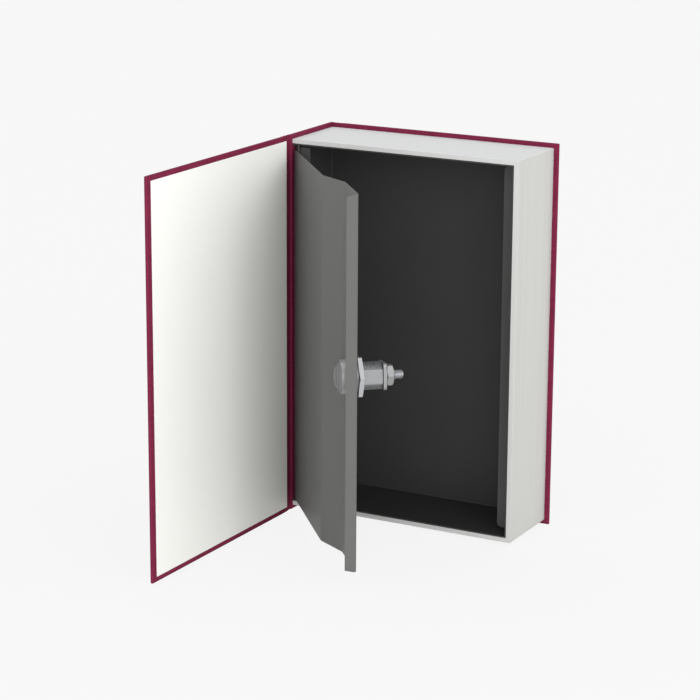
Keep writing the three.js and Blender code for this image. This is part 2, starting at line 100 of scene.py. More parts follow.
def swung(x, y, degrees):
    """The frame matrix of a piece that is swung open about an upright hinge at x, y."""
    hinge = Matrix.Translation((x, y, 0))
    return STILL @ hinge @ Matrix.Rotation(math.radians(-degrees), 4, "Z") @ hinge.inverted()


COVER = swung(0, -BOARD, COVER_OPEN)
DOOR = swung(*DOOR_HINGE, DOOR_OPEN)
print("fore-edge of the open cover, in metres:", COVER @ Vector((WIDTH, -BOARD, 0)))

# %% [markdown]
# The photograph was taken with a long lens from a little above, from the fore-edge
# side. The place, the aim and the lens were worked out from the straight edges of the
# covers, so that the render lies over the photograph. A tiny roll is left in the
# picture, and the camera has it too.

# %% The camera
CAMERA_PLACE = Vector((0.660965, -1.346717, 0.499571))
CAMERA_AIM = Vector((-0.027283, -0.066952, 0.114035))
CAMERA_ROLL = 0.306
CAMERA_LENS = 127.2

camera = bpy.data.objects.new("camera", bpy.data.cameras.new("camera"))
scene.collection.objects.link(camera)
camera.data.lens = CAMERA_LENS
camera.data.sensor_width = 36
camera.data.clip_start, camera.data.clip_end = 0.05, 50
aimed = (CAMERA_AIM - CAMERA_PLACE).to_track_quat("-Z", "Y").to_matrix().to_4x4()
camera.matrix_world = (
    Matrix.Translation(CAMERA_PLACE) @ aimed @ Matrix.Rotation(math.radians(CAMERA_ROLL), 4, "Z")
)
scene.camera = camera
print("camera", round((CAMERA_AIM - CAMERA_PLACE).length, 3), "m from the book")

# %% [markdown]
# A finish is a small network of shader nodes. Written node by node such networks are
# hard to read, so two small classes help. A Wire is the value on one socket, and
# arithmetic on it adds Math nodes, so a mask can be written as 1 - mask. A Network
# holds the nodes of a material or of the world, and its method node() adds any other
# node: its settings first, then its sockets, with plain values or wires. A Mix node
# has sockets for numbers, vectors and colours at once, and those for colours are
# number 6 and 7, with the mixed colour on output 2.

# %% A wire between two nodes
class Wire:
    """The value on a socket of a node network, which can be reckoned with."""

    def __init__(self, network, socket):
        self.network, self.socket = network, socket

    def maths(self, operation, *values):
        return self.network.node("ShaderNodeMath", {"operation": operation}, dict(enumerate(values)))

    def __add__(self, other):
        return self.maths("ADD", self, other)

    def __sub__(self, other):
        return self.maths("SUBTRACT", self, other)

    def __rsub__(self, other):
        return self.maths("SUBTRACT", other, self)

    def __mul__(self, other):
        return self.maths("MULTIPLY", self, other)

    __radd__, __rmul__ = __add__, __mul__

    def sine(self):
        return self.maths("SINE", self)

    def either(self, other):
        """1 where one of two masks is 1."""
        return self.maths("MAXIMUM", self, other)

    def above(self, level, softness):
        """0 below the level and 1 above it, with a soft step between."""
        return self.network.node(
            "ShaderNodeMapRange",
            {"interpolation_type": "SMOOTHSTEP"},
            {0: self, 1: level - softness, 2: level + softness},
        )


print("a Wire can be added, subtracted and multiplied")

# %% A network of nodes
class Network:
    """A node network of a material or of the world."""

    def __init__(self, owner):
        owner.use_nodes = True
        self.owner, self.tree = owner, owner.node_tree

    def node(self, kind, settings=None, sockets=None, output=0):
        made = self.tree.nodes.new(kind)
        for name, value in (settings or {}).items():
            setattr(made, name, value)
        for key, value in (sockets or {}).items():
            self.plug(made.inputs[key], value)
        return Wire(self, made.outputs[output])

    def plug(self, socket, value):
        if isinstance(value, Wire):
            self.tree.links.new(value.socket, socket)
        else:
            socket.default_value = value

    def mix(self, share, first, second):
        """Goes from the first colour to the second as share goes from 0 to 1."""
        colour_sockets = {0: share, 6: first, 7: second}
        return self.node("ShaderNodeMix", {"data_type": "RGBA"}, colour_sockets, output=2)


print("a Network adds nodes and mixes colours")

# %% [markdown]
# Every finish starts from the Principled shader, which covers paint, metal, cloth and
# paper alike. Numbers that are the same all over go straight on its sockets. Patterns
# are measured in the object's own space, in metres, so they keep their real size and
# move with the piece. Stretching that space before a noise gives threads and lines.

# %% The finish of a piece
finishes = {}


def tone(red, green, blue):
    """A colour in linear light, with the alpha that a colour socket wants."""
    return (red, green, blue, 1.0)


class Finish(Network):
    """One material on the Principled shader, kept by its name."""

    def __init__(self, name, **constants):
        super().__init__(bpy.data.materials.new(name))
        self.shader = self.tree.nodes["Principled BSDF"]
        finishes[name] = self.owner
        for key, value in constants.items():
            self.set(key.replace("_", " ").title().replace("Ior", "IOR"), value)

    def set(self, socket, value):
        self.plug(self.shader.inputs[socket], value)

    def place(self, stretch=(1, 1, 1), output="Object"):
        """The point on the surface in metres, stretched along each axis."""
        point = self.node("ShaderNodeTexCoord", output=output)
        return self.node("ShaderNodeVectorMath", {"operation": "MULTIPLY"}, {0: point, 1: stretch})

    def along(self, axis, output):
        """X, Y or Z of the point on a map, or of the way that the surface looks."""
        return self.node("ShaderNodeSeparateXYZ", sockets={0: self.place(output=output)}, output=axis)

    def noise(self, point, scale=1.0, detail=2.0, roughness=0.5):
        sockets = {"Vector": point, "Scale": scale, "Detail": detail, "Roughness": roughness}
        return self.node("ShaderNodeTexNoise", sockets=sockets)

    def relief(self, height, depth):
        """Lets a height between 0 and 1 tilt the surface, as if it stood depth metres proud."""
        sockets = {"Height": height, "Distance": depth, "Strength": 1.0}
        self.set("Normal", self.node("ShaderNodeBump", sockets=sockets))


print("a finish is a Principled material with a name")

# %% [markdown]
# The case is covered in crimson book cloth: cotton in a plain weave, starched and
# dyed, with a dull surface. Each thread is about a third of a millimetre wide. Two
# crossed sine waves give the over and under of the weave, and a slow noise makes some
# threads thicker and darker, as spun cotton is. The pattern runs on a map that is laid
# on the cloth in metres, because the joint of the cover bends and its threads have to
# bend with it.

# %% Book cloth
THREAD, THREAD_RELIEF, SLUB_SHARE = 0.0007, 0.00006, 0.3
cloth = Finish("crimson_book_cloth", roughness=0.82, specular_ior_level=0.15)
weft, warp = ((cloth.along(axis, "UV") * (FULL_TURN / THREAD)).sine() for axis in "XY")
weave = weft * warp * 0.5 + 0.5
slubs = cloth.noise(cloth.place((900, 70, 1), "UV")) + cloth.noise(cloth.place((70, 900, 1), "UV"))
cloth.relief(weave * (1 - SLUB_SHARE) + slubs * SLUB_SHARE, THREAD_RELIEF)
shade = slubs.above(1.0, 0.35)
cloth.set("Base Color", cloth.mix(shade, tone(0.152, 0.0125, 0.041), tone(0.21, 0.0195, 0.058)))
print("thread pitch", THREAD * 1000, "mm")

# %% [markdown]
# Paper and board come next. The endpapers are smooth and nearly white, with a cloud of
# fibres that only shows close by. The boards inside the covers are grey pulp. The
# false pages are a white block whose three outer sides are scored with fine lines, one
# for every few sheets. These lines lie one behind the other from cover to cover, so
# the noise is stretched hard along y and hardly at all along the sheets. Two masks
# taken from the way a face looks paint light and shade on it: head and tail lighter,
# as if lit from above, and the fore-edge and the plain rim at the front darker, as shade.

# %% Paper, board and page edges
paper = Finish("white_endpaper", roughness=0.62, specular_ior_level=0.35)
fibres = paper.noise(paper.place(), 900.0, 4.0)
paper.set("Base Color", paper.mix(fibres, tone(0.86, 0.86, 0.825), tone(0.91, 0.91, 0.875)))
paper.relief(fibres, 0.00002)

board = Finish("grey_board", roughness=0.9, specular_ior_level=0.2)
flecks = board.noise(board.place(), 1500.0, 4.0)
board.set("Base Color", board.mix(flecks, tone(0.24, 0.225, 0.195), tone(0.4, 0.375, 0.325)))
board.relief(flecks, 0.00006)

SHEETS, GAP_SHARE = 2300, 0.25
FACING, FACING_SOFT = 0.7, 0.1
pages = Finish("page_edges", roughness=0.6, specular_ior_level=0.3)
sheets = pages.noise(pages.place((1.5, SHEETS, 1.5)), 1.0, 1.5)
gaps = pages.noise(pages.place((5, SHEETS * 0.6, 5)), 1.0, 1.0).above(0.66, 0.08)
# Painted light and shade by the way a face looks: head and tail lighter, fore-edge and front rim darker.
at_fore_edge = pages.along("X", "Normal").above(FACING, FACING_SOFT)
at_shaded_rim = 1 - pages.along("Y", "Normal").above(-FACING, FACING_SOFT)
lit_head_and_tail = pages.mix(sheets, tone(0.61, 0.615, 0.62), tone(0.68, 0.685, 0.69))
shaded_fore_edge = pages.mix(sheets, tone(0.44, 0.44, 0.42), tone(0.58, 0.58, 0.56))
white_sheets = pages.mix(at_fore_edge, lit_head_and_tail, shaded_fore_edge)
white_sheets = pages.mix(at_shaded_rim, white_sheets, tone(0.58, 0.58, 0.57))
pages.set("Base Color", pages.mix(gaps * GAP_SHARE, white_sheets, tone(0.4, 0.4, 0.39)))
pages.relief(sheets, 0.00005)
print("finishes so far:", sorted(finishes))

# %% [markdown]
# The steel is powder coated: the tray nearly black, the two angles beside its mouth a
# little lighter, and the door in a satin grey. Powder melts into a skin with a fine
# orange peel, so all share one recipe and differ in colour and gloss. Whatever faces
# up, such as the cut top edges and the tray's floor, is painted darker: a painted
# shade that keeps it from looking lit from above.

# %% Powder coats
UPWARD_PAINTED_SHADE, GLOSS_SPREAD = 0.36, 0.08


def powder_coat(name, low, high, gloss):
    """A powder coat between two colours, with the orange peel of molten powder."""
    coat = Finish(name, roughness=gloss, specular_ior_level=0.18)
    peel = coat.noise(coat.place(), 1100.0, 2.0)
    wear = coat.noise(coat.place(), 25.0, 3.0)
    # Painted shade: faces that look up are made darker by this share.
    shade_on_top = coat.along("Z", "Normal").above(FACING, FACING_SOFT) * UPWARD_PAINTED_SHADE
    coat.set("Base Color", coat.mix(shade_on_top, coat.mix(wear, low, high), tone(0, 0, 0)))
    coat.set("Roughness", (wear - 0.5) * GLOSS_SPREAD + gloss)
    coat.relief(peel, 0.000012)


powder_coat("tray_paint", tone(0.05, 0.05, 0.05), tone(0.056, 0.056, 0.055), 0.55)
powder_coat("angle_paint", tone(0.068, 0.068, 0.067), tone(0.077, 0.077, 0.076), 0.55)
powder_coat("stile_paint", tone(0.08, 0.08, 0.079), tone(0.09, 0.09, 0.088), 0.5)
powder_coat("door_paint", tone(0.126, 0.127, 0.124), tone(0.138, 0.138, 0.134), 0.5)
print("powder coats are ready")

# %% [markdown]
# The lock is die-cast zinc and steel with nickel on it. Its plating is painted in five
# brightnesses that stand in for what each part reflects: painted shade darkest on the
# cone of the head's face, then dull on the barrel, the cam and the face of the plug, and
# satin on the cam's own nut and washer; brighter, plain nickel on the stud and the body's
# nut; and a painted highlight on the turned side of the head. Wafers are stamped brass,
# their springs steel wire, and the pins of the hinge are blackened against rust. Metal is
# never quite even: a cloud of fine scratches widens its highlights in places. The foam
# tape behind the tray is black and dull.

# %% Metals and foam
PLATED, CAST, TURNED = (700, 700, 700), (900, 900, 900), (200, 200, 2500)
SCRATCH_SPREAD = 0.16


def bare_metal(name, colour, gloss, grain=PLATED):
    """Metal whose gloss varies with a noise, stretched by grain where it was turned or rolled."""
    metal = Finish(name, base_color=colour, metallic=1.0)
    scratches = metal.noise(metal.place(grain), 1.0, 3.0)
    metal.set("Roughness", (scratches - 0.5) * SCRATCH_SPREAD + gloss)
    metal.relief(scratches, 0.000004)


# Painted light on one plating: the darker copies below are painted shade, the brightest a painted highlight.
bare_metal("nickel", tone(0.57, 0.578, 0.6), 0.36)
bare_metal("satin_nickel_painted_shade", tone(0.4, 0.402, 0.405), 0.52)
bare_metal("dull_nickel_painted_shade", tone(0.325, 0.329, 0.337), 0.55)
bare_metal("nickel_painted_highlight", tone(0.92, 0.92, 0.93), 0.45)
bare_metal("nickel_painted_shade", tone(0.24, 0.243, 0.251), 0.5)
bare_metal("dull_zinc", tone(0.24, 0.242, 0.25), 0.5, CAST)
bare_metal("turned_steel", tone(0.48, 0.48, 0.5), 0.32, TURNED)
bare_metal("blackened_steel", tone(0.1, 0.098, 0.095), 0.6, TURNED)
bare_metal("brass", tone(0.55, 0.38, 0.13), 0.35, CAST)
foam = Finish("black_foam", base_color=tone(0.015, 0.015, 0.015), roughness=0.95)
foam.relief(foam.noise(foam.place(), 1800.0, 1.0), 0.0002)
print("finishes:", sorted(finishes))

# %% [markdown]
# Most pieces of a book are bars: one outline carried along a straight line, with
# softened ends. The outline's corners are turned into short arcs, because no real
# corner is perfectly sharp and a small radius is what catches the light. A bar keeps
# its size: the rounding only takes material away.

# %% Outlines
def rounded(corners, steps=4, closed=True):
    """Corner points (x, y, radius), each turned into an arc of that radius."""
    outline = []
    for index, (x, y, radius) in enumerate(corners):
        corner = Vector((x, y))
        at_end = not closed and index in (0, len(corners) - 1)
        if not radius or at_end:
            outline.append(corner)
            continue
        back = (Vector(corners[index - 1][:2]) - corner).normalized()
        ahead = (Vector(corners[(index + 1) % len(corners)][:2]) - corner).normalized()
        half = back.angle(ahead) / 2
        centre = corner + (back + ahead).normalized() * (radius / math.sin(half))
        first = corner + back * (radius / math.tan(half)) - centre
        last = corner + ahead * (radius / math.tan(half)) - centre
        start = math.atan2(first.y, first.x)
        sweep = (math.atan2(last.y, last.x) - start + math.pi) % FULL_TURN - math.pi
        for step in range(steps + 1):
            angle = start + sweep * step / steps
            outline.append(centre + radius * Vector((math.cos(angle), math.sin(angle))))
    return outline


def inset(outline, depth, closed=True):
    """The outline moved to its left side by depth; an open outline keeps its ends in line."""
    moved = []
    for index, point in enumerate(outline):
        after = outline[(index + 1) % len(outline)] - point
        before = point - outline[index - 1]
        if not closed and index == 0:
            before = after
        if not closed and index == len(outline) - 1:
            after = before
        before, after = before.normalized(), after.normalized()
        left, next_left = Vector((-before.y, before.x)), Vector((-after.y, after.x))
        moved.append(point + (left + next_left) * (depth / (1 + left.dot(next_left))))
    return moved


print("a square with soft corners has", len(rounded([(0, 0, 1), (9, 0, 1), (9, 9, 1), (0, 9, 1)])), "points")

# %% [markdown]
# The bar's ends are softened too. Near each end the outline is drawn in along a
# quarter circle, ring by ring, and the last ring is closed with one face. A bevel
# modifier could do it, but it would also cut the long edges that are round already.

# %% A bar with soft ends
def bar(outline, low, high, radius=0.3, stops=(), closed=True, steps=3):
    """The outline carried along z; stops are heights where it gets a ring of points."""
    mesh = bmesh.new()
    turns = [math.radians(90 * step / steps) for step in range(steps + 1)]
    foot = [(radius * (1 - math.sin(turn)), low + radius * (1 - math.cos(turn))) for turn in turns]
    levels = foot + [(0, stop) for stop in stops] + [(depth, low + high - z) for depth, z in reversed(foot)]
    rings = []
    for depth, z in levels:
        ring = inset(outline, depth, closed)
        rings.append([mesh.verts.new((point.x, point.y, z)) for point in ring])
    for lower, upper in zip(rings, rings[1:]):
        for k in range(len(outline) if closed else len(outline) - 1):
            after = (k + 1) % len(outline)
            mesh.faces.new((lower[k], lower[after], upper[after], upper[k]))
    mesh.faces.new(rings[0][::-1])
    mesh.faces.new(rings[-1])
    return mesh


print("bar() carries an outline along z")

# %% [markdown]
# A finished mesh then goes through one door: modifiers such as a sheet's thickness are
# applied, the mesh is brought to the frame, its edges are marked sharp where it truly
# turns a corner, and it is told which body of the solids it moves with and which
# solids it stands for. A weighted normal modifier keeps the big flat faces flat beside
# their small round edges.

# %% From mesh to piece
SHARP_TURN, CUT_TURN = math.radians(33), math.radians(50)


def hang(name, mesh, finish, body, matrix, replaced=(), thickness=None, side=0, edge=0):
    """Makes a piece of a mesh and hands it to its body; edge is the radius of a cut sheet's edges."""
    bmesh.ops.recalc_face_normals(mesh, faces=mesh.faces)
    data = bpy.data.meshes.new(name)
    mesh.to_mesh(data)
    mesh.free()
    piece = bpy.data.objects.new(name, data)
    scene.collection.objects.link(piece)
    if thickness:
        sheet = piece.modifiers.new("thickness", "SOLIDIFY")
        sheet.thickness, sheet.offset, sheet.use_even_offset = thickness, side, True
    if edge:
        soft = piece.modifiers.new("edges", "BEVEL")
        soft.width, soft.segments, soft.limit_method = edge, 2, "ANGLE"
        soft.angle_limit = CUT_TURN
    if thickness or edge:
        bpy.context.view_layer.update()
        view = bpy.context.evaluated_depsgraph_get()
        piece.data = bpy.data.meshes.new_from_object(piece.evaluated_get(view))
        piece.modifiers.clear()
    piece.data.name = name
    piece.data.transform(matrix)
    piece.data.shade_smooth()
    piece.data.set_sharp_from_angle(angle=SHARP_TURN)
    flat = piece.modifiers.new("flat faces", "WEIGHTED_NORMAL")
    flat.keep_sharp, flat.weight = True, 90
    piece.data.materials.clear()
    piece.data.materials.append(finishes[finish])
    if body:
        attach(piece, body)
    if replaced:
        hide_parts(*replaced)
    print(name, len(piece.data.vertices), "points")
    return piece


print("hang() finishes a piece")

# %% [markdown]
# Cloth is cut from a roll, so its threads run straight up the book and straight across
# it. The map for them takes each point's height as one direction, and its way round
# the book as the other. Head and tail are folded over, so there the map lies flat.

# %% A map for the weave
def lay_map(mesh):
    """Lays the weave on a cloth: threads run along z and across it, in metres."""
    layer = mesh.loops.layers.uv.new("threads")
    mesh.normal_update()
    for face in mesh.faces:
        level = abs(face.normal.z) > FACING
        for loop in face.loops:
            x, y, z = loop.vert.co * MILLIMETRE
            loop[layer].uv = (x, y) if level else (x + y, z)


print("lay_map() lays the threads in metres")

# %% [markdown]
# The case of a book is two boards and a spine board under one sheet of cloth, whose
# edges are folded over the boards' edges and pasted down inside. It could be painted
# on solid slabs, but then the fold at the edges and the step to the endpaper would
# be missing. So the cloth is made as a real sheet: the outer skin as a bar with a
# window in its inner face, and a thickness grown inwards round the boards. The groove
# beside the spine is pressed into the cloth where the back cover would hinge.

# %% The cloth of the spine and the back cover
TURN_IN, CLOTH_SHEET = 4.4, 0.34
BACK = DEPTH + BOARD
GROOVE_START, GROOVE_END, GROOVE_SLANT, GROOVE_SOFT = 2.3, 9.7, 1.1, 1.2
GROOVE_FLOOR = BACK - 0.6
BOARD_BARE, SPINE_BARE_START, SPINE_BARE_END = 12.6, 12, 50.7
END_ROUND, HAIR = 0.6, 0.1


def open_window(mesh, low, high):
    """Takes out the faces whose middle lies between two corners."""
    inside = [
        face for face in mesh.faces
        if all(a <= b <= c for a, b, c in zip(low, face.calc_center_median(), high))
    ]
    bmesh.ops.delete(mesh, geom=inside, context="FACES")
    return len(inside)


case_outline = rounded([
    (0, 0, 0), (BOARD, 0, 0), (BOARD, SPINE_BARE_START, 0), (BOARD, SPINE_BARE_END, 0), (BOARD, DEPTH, 0),
    (BOARD_BARE, DEPTH, 0), (WIDTH - TURN_IN, DEPTH, 0), (WIDTH, DEPTH, 0.6), (WIDTH, BACK, 0.8),
    (GROOVE_END, BACK, GROOVE_SOFT), (GROOVE_END - GROOVE_SLANT, GROOVE_FLOOR, GROOVE_SOFT),
    (GROOVE_START + GROOVE_SLANT, GROOVE_FLOOR, GROOVE_SOFT), (GROOVE_START, BACK, GROOVE_SOFT),
    (0, BACK, 0.9),
])
case = bar(case_outline, 0, HEIGHT, END_ROUND, stops=(TURN_IN, HEIGHT - TURN_IN))
board_window = [
    (BOARD_BARE, DEPTH - HAIR, TURN_IN), (WIDTH - TURN_IN, DEPTH + HAIR, HEIGHT - TURN_IN),
]
spine_window = [
    (BOARD - HAIR, SPINE_BARE_START, TURN_IN), (BOARD + HAIR, SPINE_BARE_END, HEIGHT - TURN_IN),
]
windows = open_window(case, *board_window) + open_window(case, *spine_window)
lay_map(case)
hang(
    "cloth_of_case", case, "crimson_book_cloth", "root", STILL, ["case_cloth"],
    thickness=CLOTH_SHEET, side=-1,
)
print("windows in the case:", windows)

# %% [markdown]
# The front cover is the same sheet over one board. Towards the joint it has no fold,
# because there the cloth runs on across the joint to the spine. So its outline stays
# open at that end, and its inner face gets a window like that of the back cover.

# %% The cloth of the front cover
JOINT = 7.6
front_outline = rounded([
    (JOINT, -BOARD, 0), (WIDTH, -BOARD, 0.8), (WIDTH, 0, 0.6), (WIDTH - TURN_IN, 0, 0), (JOINT, 0, 0),
], closed=False)
front = bar(front_outline, 0, HEIGHT, END_ROUND, stops=(TURN_IN, HEIGHT - TURN_IN), closed=False)
open_window(front, (JOINT, -HAIR, TURN_IN), (WIDTH - TURN_IN, HAIR, HEIGHT - TURN_IN))
lay_map(front)
hang(
    "cloth_of_cover", front, "crimson_book_cloth", "front_cover", COVER, ["front_cloth"],
    thickness=CLOTH_SHEET, side=-1,
)

# %% [markdown]
# The endpaper is pasted over the turned-in cloth and over the edge of the joint. Its
# edges have to catch a little light, so it is a thin bar and not a bare plane: most of
# its thickness lies in the board, and a hair of it stands up from the cloth.

# %% The endpaper of the front cover
PAPER_START, PAPER_END, PAPER_MARGIN = 4.5, 152.4, 3.1
PAPER_DEEP, PAPER_PROUD = -0.3, 0.04
sheet = bar(rounded([
    (PAPER_START, PAPER_DEEP, 0.1), (PAPER_END, PAPER_DEEP, 0.1),
    (PAPER_END, PAPER_PROUD, 0.12), (PAPER_START, PAPER_PROUD, 0.12),
]), PAPER_MARGIN, HEIGHT - PAPER_MARGIN, 0.08)
hang("endpaper_of_cover", sheet, "white_endpaper", "front_cover", COVER, ["front_endpaper"])

# %% [markdown]
# The joint is bare cloth with a lining, thinner than the boards on both sides of it,
# and it is the only thing that bends when the book opens. Past the edge of the
# endpaper it keeps straight.

# %% The joint of the front cover
JOINT_STEPS, BENDING = 30, 5.6
book_to_rest = STILL.inverted() @ COVER
outer_end, inner_end = (book_to_rest @ Vector((JOINT, y, 0)) for y in (-BOARD, 0))


def joint_line(start, end, dips):
    """Points from the spine to the cover; dips are pairs of a share of the way and a hollow there."""
    points = []
    for step in range(JOINT_STEPS + 1):
        share = step / JOINT_STEPS
        before, after = next(pair for pair in zip(dips, dips[1:]) if share <= pair[1][0])
        ease = (share - before[0]) / (after[0] - before[0])
        dip = before[1] + (after[1] - before[1]) * ease * ease * (3 - 2 * ease)
        points.append(Vector(start).lerp(Vector(end), share) + Vector((dip, 0)))
    return points


outside = joint_line((0, 0), outer_end.xy, [(0, 0), (0.3, 0.5), (0.7, 0.6), (1, 0)])
inside = joint_line((BOARD, 0), inner_end.xy, [(0, 0), (0.1, -0.95), (0.4, -0.95), (0.55, -0.34), (1, -0.34)])
joint = bar(outside + inside[::-1], 0, HEIGHT, 0.3)
lay_map(joint)
strip = hang("cloth_of_joint", joint, "crimson_book_cloth", None, STILL, ["hinge_cloth"])
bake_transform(strip)
print("the joint bends over", BENDING, "of its", round(-outer_end.y, 2), "mm")

# %% [markdown]
# The false pages are one white shell, folded round the head, the fore-edge and the
# tail of the tray, with a hollow for it. The outline is drawn in the plane of a page
# and carried from cover to cover, so the bar lies on its back: a turn about x brings
# its length from z to y.

# %% The page block
PAGES_FRONT, PAGES_REAR = 0.3, 50.9
PAGES_START, PAGES_END, PAGES_TAIL = 2.1, 153.4, 2.7
HOLLOW_END, HOLLOW_TAIL = 150.5, 5.4
page_outline = rounded([
    (PAGES_START, PAGES_TAIL, 0.3), (PAGES_END, PAGES_TAIL, 0.5),
    (PAGES_END, HEIGHT - PAGES_TAIL, 0.5), (PAGES_START, HEIGHT - PAGES_TAIL, 0.3),
    (PAGES_START, HEIGHT - HOLLOW_TAIL, 0.3), (HOLLOW_END, HEIGHT - HOLLOW_TAIL, 0.3),
    (HOLLOW_END, HOLLOW_TAIL, 0.3), (PAGES_START, HOLLOW_TAIL, 0.3),
])
block = bar([Vector((point.x, -point.y)) for point in reversed(page_outline)], PAGES_FRONT, PAGES_REAR, 0.15)
lie_down = Matrix.Rotation(math.radians(-90), 4, "X")
bmesh.ops.transform(block, matrix=lie_down, verts=block.verts)
hang("page_block_shell", block, "page_edges", "root", STILL, ["page_block"])

# %% [markdown]
# The tray is pressed from one sheet, 0.8 mm thick: a back with four walls, joined by
# round bends. A box without its front, with the back edges and the corners bevelled
# round, gives the skin, and a thickness grown inwards makes it steel. The wall at the
# spine is cut back, because the door's hinge swings there.

# %% The steel tray
CLEARANCE = 0.1
TRAY_LOW = Vector((PAGES_START, 0.4, HOLLOW_TAIL + CLEARANCE))
TRAY_HIGH = Vector((HOLLOW_END - CLEARANCE, 49.8, HEIGHT - HOLLOW_TAIL - CLEARANCE))
TRAY_SHEET, TRAY_BEND, SPINE_CUT, CUT_EDGE = 0.8, 1.4, 4.4, 0.12
tray = bmesh.new()
bmesh.ops.create_cube(tray, size=1)
for vertex in tray.verts:
    vertex.co = [high if value > 0 else low for low, high, value in zip(TRAY_LOW, TRAY_HIGH, vertex.co)]
mouth = [face for face in tray.faces if face.calc_center_median().y < 1]
bmesh.ops.delete(tray, geom=mouth, context="FACES_ONLY")
folds = [edge for edge in tray.edges if len(edge.link_faces) == 2]
bmesh.ops.bevel(tray, geom=folds, offset=TRAY_BEND, segments=4, profile=0.5, affect="EDGES")


def spine_wall():
    """The faces of the wall beside the spine."""
    return [face for face in tray.faces if face.calc_center_median().x < TRAY_LOW.x + 0.01]


edges_and_points = dict.fromkeys(part for face in spine_wall() for part in (*face.edges, *face.verts))
wall = [*spine_wall(), *edges_and_points]
bmesh.ops.bisect_plane(tray, geom=wall, plane_co=(0, SPINE_CUT, 0), plane_no=(0, 1, 0))
cut_away = [face for face in spine_wall() if face.calc_center_median().y < SPINE_CUT]
bmesh.ops.delete(tray, geom=cut_away, context="FACES")
hang(
    "steel_tray", tray, "tray_paint", "root", STILL, ["safe_box"],
    thickness=TRAY_SHEET, side=-1, edge=CUT_EDGE,
)

# %% [markdown]
# Angles, door and cam are cut from flat sheet and folded. The natural way to build
# them is the way they are made: walk along the middle line of the folded sheet, and at
# each station note how far the sheet reaches up and down. Round free corners and
# holes are cut in the flat pattern, where they are simple, and the fold carries them
# along. The thickness comes last and grows to both sides of the middle line.

# %% Folded sheet
HOLE_STEPS = 12


def folded(stations, hole=None):
    """Sheet along stations (x, y, low, high); hole is (station before it, x, z, reach, radius at angle)."""
    mesh = bmesh.new()
    columns = [[mesh.verts.new((x, y, low)), mesh.verts.new((x, y, high))] for x, y, low, high in stations]
    if hole:
        before, x, z, reach, radius_at = hole
        splits = [z + reach * (2 * k / HOLE_STEPS - 1) for k in range(HOLE_STEPS + 1)]
        for column in columns[before:before + 2]:
            side_x, side_y = column[0].co.xy
            column[1:1] = [mesh.verts.new((side_x, side_y, height)) for height in splits]
    for index, (left, right) in enumerate(zip(columns, columns[1:])):
        if hole and index == before:
            pierce(mesh, left, right, hole)
        else:
            mesh.faces.new(left + right[::-1])
    return mesh


def pierce(mesh, left, right, hole):
    """Fills the strip between two columns round a hole, with quads from a frame to its rim."""
    _, x, z, _, radius_at = hole
    shares = [k / HOLE_STEPS for k in range(1, HOLE_STEPS)]
    below, above = (
        [mesh.verts.new(left[row].co.lerp(right[row].co, share)) for share in shares] for row in (1, -2)
    )
    mesh.faces.new([left[0], right[0], right[1], *below[::-1], left[1]])
    mesh.faces.new([left[-1], left[-2], *above, right[-2], right[-1]])
    border = [*left[1:2], *below, *right[1:-1], *above[::-1], *left[-2:1:-1]]
    rim = []
    for vertex in border:
        angle = math.atan2(vertex.co.z - z, vertex.co.x - x)
        radius = radius_at(angle)
        rim.append(mesh.verts.new((x + radius * math.cos(angle), vertex.co.y, z + radius * math.sin(angle))))
    for k in range(len(border)):
        after = (k + 1) % len(border)
        mesh.faces.new((border[k], border[after], rim[after], rim[k]))


print("folded() and pierce() build sheet metal")

# %% [markdown]
# Two steel angles stand beside the mouth of the tray. The one at the hinge, the stile,
# hides the gap behind the door, and the cam of the lock hooks behind the other. Each
# has a face with round free corners and a leg welded to the tray's wall.

# %% The two angles
ANGLE_LOW, ANGLE_HIGH, ANGLE_SHEET, ANGLE_BEND = 8.3, 231.7, 1, 1.1
CORNER_STEPS = 8


def angle_stations(free_x, wall_x, face_y, leg_y, corner):
    """Stations of an angle: round corners at its free edge, one bend, then the leg."""
    side = math.copysign(1, wall_x - free_x)
    stations = []
    for step in range(CORNER_STEPS + 1):
        turn = math.radians(90 * step / CORNER_STEPS)
        drop = corner * (1 - math.sin(turn))
        x = free_x + side * corner * (1 - math.cos(turn))
        stations.append((x, face_y, ANGLE_LOW + drop, ANGLE_HIGH - drop))
    corners = [(free_x, face_y, 0), (wall_x, face_y, ANGLE_BEND), (wall_x, leg_y, 0)]
    fold = rounded(corners, steps=5, closed=False)
    return stations + [(point.x, point.y, ANGLE_LOW, ANGLE_HIGH) for point in fold[1:]]


stile = folded(angle_stations(free_x=11.9, wall_x=3.5, face_y=4.9, leg_y=14, corner=0.8))
hang(
    "stile_angle", stile, "stile_paint", "root", STILL, ["hinge_stile"],
    thickness=ANGLE_SHEET, edge=CUT_EDGE,
)
lip = folded(angle_stations(free_x=140.0, wall_x=149.0, face_y=10.7, leg_y=22.7, corner=3))
hang(
    "strike_angle", lip, "angle_paint", "root", STILL, ["strike_lip"],
    thickness=ANGLE_SHEET, edge=CUT_EDGE,
)

# %% [markdown]
# The door is a flat leaf that ramps back near its free edge to form a channel for the
# lock's head, and ends in a flange that points forward. The two soft bends of the
# ramp have a large radius and the flange a tight one. The flange is cut a little short
# at its front corners, to clear the tray. The hole for the lock has two flats, so that
# the barrel can't turn in it.

# %% The door
DOOR_LOW, DOOR_HIGH, DOOR_SHEET, FLANGE_CUT = 6.6, 230.0, 1, 1.3
DOOR_START, DOOR_END = 4.1, 144.7
RAMP_START, RAMP_END, RAMP_BEND, FLANGE_BEND = 86.6, 109.0, 9, 1.3
LEAF_Y, CHANNEL_Y, FLANGE_Y = 1.0, 9.4, 2.9
LOCK_X, LOCK_Z, HOLE_FRAME = 124.9, 119.0, 11
NEARLY_ZERO = 1e-6


def double_flat(radius, flat, tilt=0.0):
    """The radius, at an angle, of a round bar with flats on its left and right."""
    return lambda angle: min(radius, flat / max(abs(math.cos(angle - tilt)), NEARLY_ZERO))


